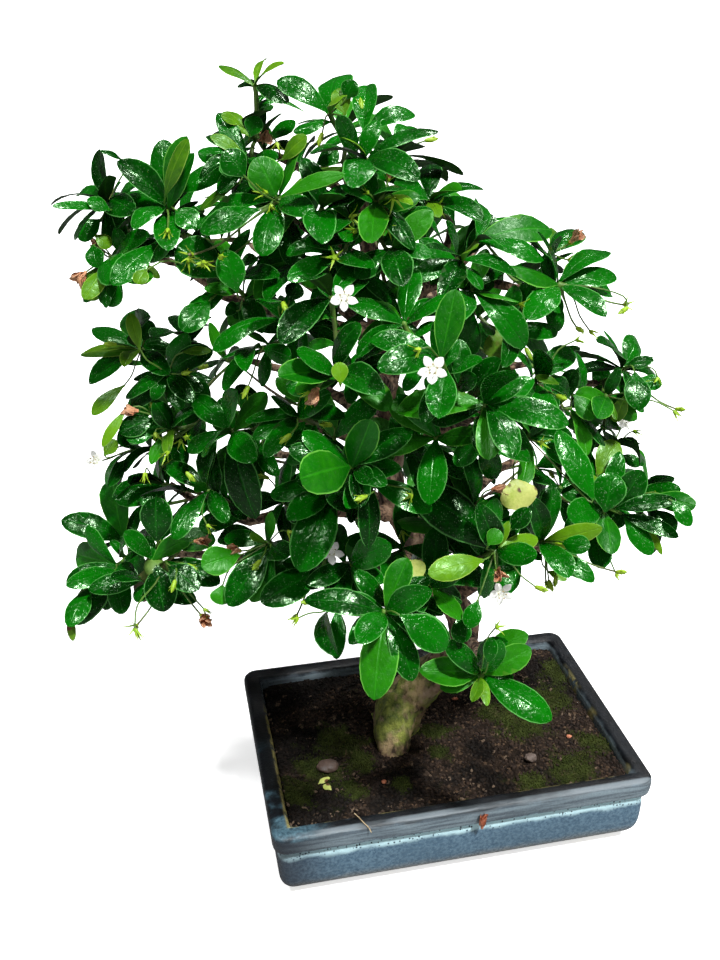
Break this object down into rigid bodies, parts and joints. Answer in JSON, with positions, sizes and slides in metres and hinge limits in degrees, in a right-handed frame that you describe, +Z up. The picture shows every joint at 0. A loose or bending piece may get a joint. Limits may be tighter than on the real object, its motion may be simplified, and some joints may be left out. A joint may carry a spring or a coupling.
{
  "type": "bonsai tree in a pot",
  "caption": "Small leaning broadleaf tree with glossy leaves, white flowers and a crooked trunk, planted in a low rectangular glazed pot filled with mossy soil.",
  "frame": {"origin": "on the ground, under the middle of the whole plant's reach", "axes": "+Z up; +X along the pot's long side, to the right from the front; +Y to the back"},
  "size_m": [0.3308, 0.2838, 0.4381],
  "materials": {
    "blue_glaze": "mottled slate blue glaze, near black on the rim, light aqua where it pools under it",
    "soil": "dark crumbly potting soil with patches of moss",
    "bark": "rough grey-brown bark, mossy at the foot",
    "leaf": "smooth glossy deep green leaf",
    "white_petal": "matt white petal",
    "spent_petal": "dry orange-brown petal",
    "stone_brown": "smooth brown pebble",
    "stone_pale": "dull pale pebble"
  },
  "bodies": {
    "root": {"flower_open_1": "white_petal", "flower_open_2": "white_petal", "flower_open_3": "white_petal", "flower_open_4": "white_petal", "flower_open_5": "white_petal", "flower_open_6": "white_petal", "flower_spent_1": "spent_petal", "flower_spent_2": "spent_petal", "flower_spent_3": "spent_petal", "flower_spent_4": "spent_petal", "flower_spent_5": "spent_petal", "flower_spent_6": "spent_petal", "pot": "blue_glaze", "shoot_apex": "leaf", "shoot_apex_left": "leaf", "shoot_back_left_high": "leaf", "shoot_back_left_low": "leaf", "shoot_back_left_mid": "leaf", "shoot_back_mid": "leaf", "shoot_back_right_high": "leaf", "shoot_back_right_low": "leaf", "shoot_back_right_mid": "leaf", "shoot_back_top": "leaf", "shoot_front_bottom_left": "leaf", "shoot_front_crown": "leaf", "shoot_front_drop": "leaf", "shoot_front_low": "leaf", "shoot_front_low_right": "leaf", "shoot_front_middle": "leaf", "shoot_front_right": "leaf", "shoot_front_upper": "leaf", "shoot_front_upper_left": "leaf", "shoot_left_bottom_end": "leaf", "shoot_left_bottom_inner": "leaf", "shoot_left_bottom_mid": "leaf", "shoot_left_centre": "leaf", "shoot_left_low_end": "leaf", "shoot_left_low_inner": "leaf", "shoot_left_mid_end": "leaf", "shoot_left_mid_inner": "leaf", "shoot_left_mid_under": "leaf", "shoot_left_top_inner": "leaf", "shoot_left_top_outer": "leaf", "shoot_left_top_under": "leaf", "shoot_middle_top": "leaf", "shoot_right_crown": "leaf", "shoot_right_low_end": "leaf", "shoot_right_low_inner": "leaf", "shoot_right_low_mid": "leaf", "shoot_right_mid_end": "leaf", "shoot_right_mid_inner": "leaf", "shoot_right_shoulder": "leaf", "shoot_right_top_end": "leaf", "shoot_right_top_inner": "leaf", "shoot_upper_left": "leaf", "shoot_upper_middle": "leaf", "soil": "soil", "stone_brown": "stone_brown", "stone_pale": "stone_pale", "wood": "bark"}
  },
  "joints": []
}
